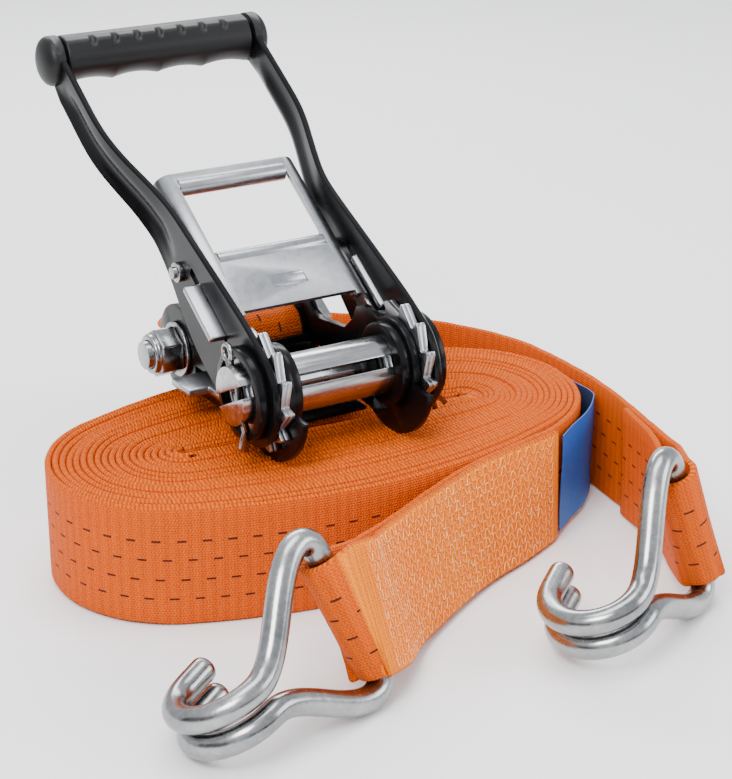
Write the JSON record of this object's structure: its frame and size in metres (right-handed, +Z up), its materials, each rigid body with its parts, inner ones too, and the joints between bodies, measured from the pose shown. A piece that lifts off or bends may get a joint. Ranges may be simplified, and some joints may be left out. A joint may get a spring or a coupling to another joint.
{
  "type": "ratchet tie down",
  "caption": "Ratchet lashing: webbing strap wound in a flat roll, hand ratchet with grip and release slide, short strap, and a double wire hook on each strap.",
  "frame": {"origin": "middle of the wound roll's underside, on the surface it stands on", "axes": "+X along the roll and the spindle, +Y from the hooks to the back, +Z up"},
  "size_m": [0.265, 0.32, 0.1924],
  "materials": {
    "orange_webbing": "woven polyester",
    "blue_tag": "coated cloth",
    "zinc_wire": "bright zinc plate",
    "zinc_sheet": "zinc plate",
    "black_paint": "gloss black",
    "grip_plastic": "soft matte",
    "spring_steel": "bright"
  },
  "bodies": {
    "straps": {"long_strap_roll": "orange_webbing", "long_strap_lead": "orange_webbing", "short_strap": "orange_webbing", "label_tag": "blue_tag"},
    "long_hook": {"long_strap_hook": "zinc_wire"},
    "short_hook": {"short_strap_hook": "zinc_wire"},
    "frame": {"frame_plate_left": "black_paint", "frame_plate_right": "black_paint", "frame_web": "black_paint", "spring_bracket": "black_paint", "anchor_bolt": "zinc_wire", "anchor_nut": "zinc_wire", "anchor_washers": "zinc_wire", "anchor_spacer": "zinc_sheet"},
    "frame_pawl": {"frame_pawl": "zinc_sheet", "frame_pawl_spring": "spring_steel"},
    "spindle": {"spindle_bar_upper": "zinc_wire", "spindle_bar_lower": "zinc_wire", "wheel_left_outer": "zinc_sheet", "wheel_left_inner": "zinc_sheet", "wheel_right_inner": "zinc_sheet", "wheel_right_outer": "zinc_sheet", "cotter_pin_left": "zinc_wire", "cotter_pin_right": "zinc_wire", "spindle_washers": "zinc_wire"},
    "handle": {"handle_plate_left": "black_paint", "handle_plate_right": "black_paint", "grip": "grip_plastic", "grip_cap_left": "grip_plastic", "grip_cap_right": "grip_plastic", "grip_rod": "zinc_wire", "spring_posts": "zinc_wire"},
    "release_slide": {"slide_plate": "zinc_sheet", "slide_wings": "zinc_sheet", "slide_rivets": "zinc_wire", "slide_springs": "spring_steel"}
  },
  "joints": [
    {"name": "frame_pivot", "type": "hinge", "parent": "straps", "child": "frame", "pos_m": [-0.006, 0.06, 0.07], "axis": [-1, 0, 0], "range_deg": [0, 45]},
    {"name": "spindle_spin", "type": "hinge", "parent": "frame", "child": "spindle", "pos_m": [-0.006, -0.021, 0.08], "axis": [1, 0, 0], "continuous": true},
    {"name": "handle_swing", "type": "hinge", "parent": "frame", "child": "handle", "pos_m": [-0.006, -0.021, 0.08], "axis": [1, 0, 0], "range_deg": [-10, 146]},
    {"name": "slide_pull", "type": "slide", "parent": "handle", "child": "release_slide", "axis": [0, 0.848, 0.5299], "range_m": [0, 0.006], "stiffness_N_per_m": 600, "deforming": ["slide_springs"]},
    {"name": "pawl_pull", "type": "slide", "parent": "frame", "child": "frame_pawl", "axis": [0, 1, 0], "range_m": [0, 0.0045], "stiffness_N_per_m": 600, "deforming": ["frame_pawl_spring"]},
    {"name": "long_hook_swing", "type": "hinge", "parent": "straps", "child": "long_hook", "pos_m": [-0.06, -0.127, 0.0375], "axis": [-0.3691, 0.2164, 0.9038], "range_deg": [-12, 12]},
    {"name": "short_hook_swing", "type": "hinge", "parent": "straps", "child": "short_hook", "pos_m": [0.09, -0.132, 0.0382], "axis": [-0.333, 0.0262, 0.9426], "range_deg": [-12, 12]}
  ]
}
